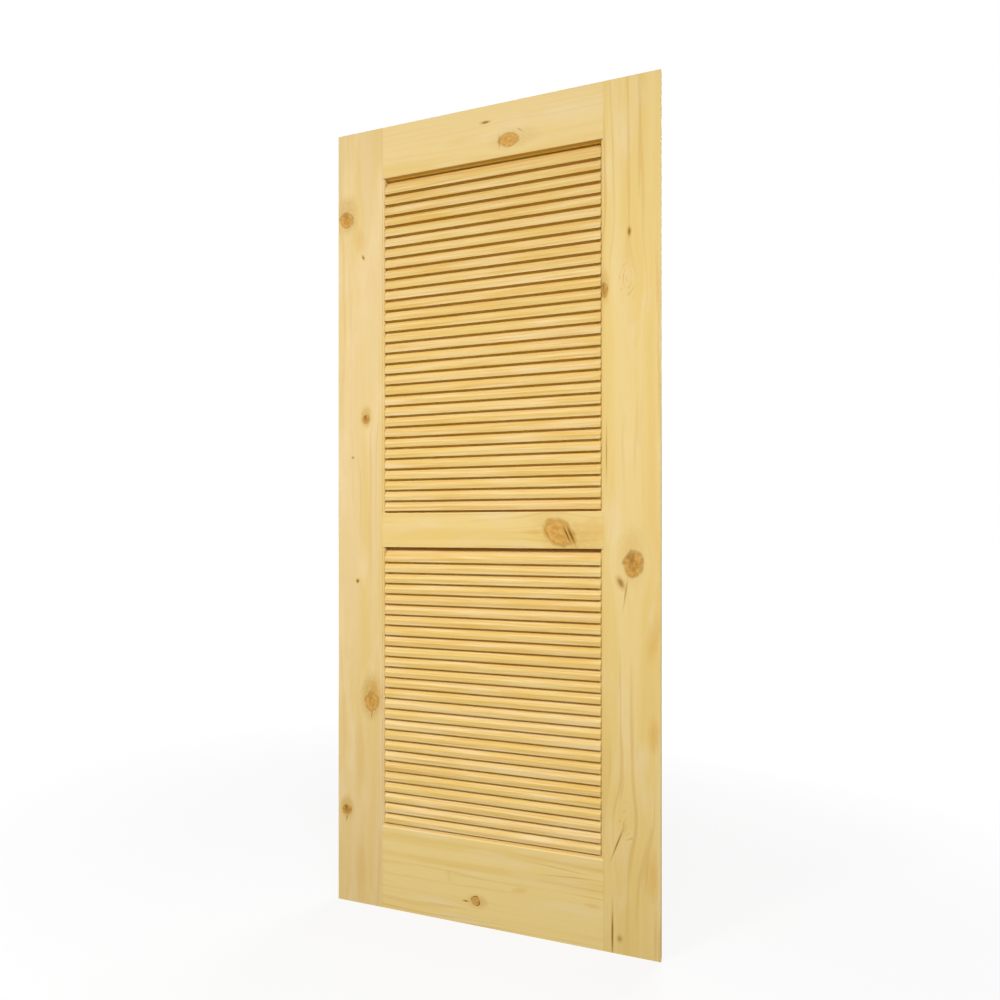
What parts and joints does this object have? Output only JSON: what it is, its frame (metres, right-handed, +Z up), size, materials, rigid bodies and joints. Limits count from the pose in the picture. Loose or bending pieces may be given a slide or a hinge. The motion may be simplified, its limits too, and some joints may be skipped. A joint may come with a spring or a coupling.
{
  "type": "closet door",
  "caption": "Flat rectangular closet door leaf of solid wood, with a frame of uprights and cross rails around two banks of fixed sloping louvre slats.",
  "frame": {"origin": "middle of the door's foot: half way along its width and through its thickness, at floor level", "axes": "+X along the width, towards the edge that is on the right seen from the front; +Y through the thickness, from the front to the back; +Z up the height"},
  "size_m": [0.8128, 0.0286, 2.032],
  "materials": {
    "frame_wood": "clear knotty pine, sanded, satin, grain along each board",
    "slat_wood": "clear pine, sanded, satin, grain along each slat, tone differs from slat to slat",
    "dowel_wood": "plain beech, unfinished, hidden in the joints"
  },
  "bodies": {
    "root": {"bottom_rail": "frame_wood", "bottom_rail_dowels": "dowel_wood", "left_stile": "frame_wood", "lower_slats_01_02": "slat_wood", "lower_slats_03_04": "slat_wood", "lower_slats_05_06": "slat_wood", "lower_slats_07_08": "slat_wood", "lower_slats_09_10": "slat_wood", "lower_slats_11_12": "slat_wood", "lower_slats_13_14": "slat_wood", "lower_slats_15_16": "slat_wood", "lower_slats_17_18": "slat_wood", "lower_slats_19_20": "slat_wood", "lower_slats_21_22": "slat_wood", "lower_slats_23_24": "slat_wood", "lower_slats_25_26": "slat_wood", "middle_rail": "frame_wood", "middle_rail_dowels": "dowel_wood", "right_stile": "frame_wood", "top_rail": "frame_wood", "top_rail_dowels": "dowel_wood", "upper_slat_01": "slat_wood", "upper_slat_02": "slat_wood", "upper_slat_03": "slat_wood", "upper_slat_04": "slat_wood", "upper_slat_05": "slat_wood", "upper_slat_06": "slat_wood", "upper_slat_07": "slat_wood", "upper_slat_08": "slat_wood", "upper_slat_09": "slat_wood", "upper_slat_10": "slat_wood", "upper_slat_11": "slat_wood", "upper_slat_12": "slat_wood", "upper_slat_13": "slat_wood", "upper_slat_14": "slat_wood", "upper_slat_15": "slat_wood", "upper_slat_16": "slat_wood", "upper_slat_17": "slat_wood", "upper_slat_18": "slat_wood", "upper_slat_19": "slat_wood", "upper_slat_20": "slat_wood", "upper_slat_21": "slat_wood", "upper_slat_22": "slat_wood", "upper_slat_23": "slat_wood", "upper_slat_24": "slat_wood", "upper_slat_25": "slat_wood", "upper_slat_26": "slat_wood", "upper_slat_27": "slat_wood", "upper_slat_28": "slat_wood", "upper_slat_29": "slat_wood", "upper_slat_30": "slat_wood", "upper_slat_31": "slat_wood"}
  },
  "joints": []
}
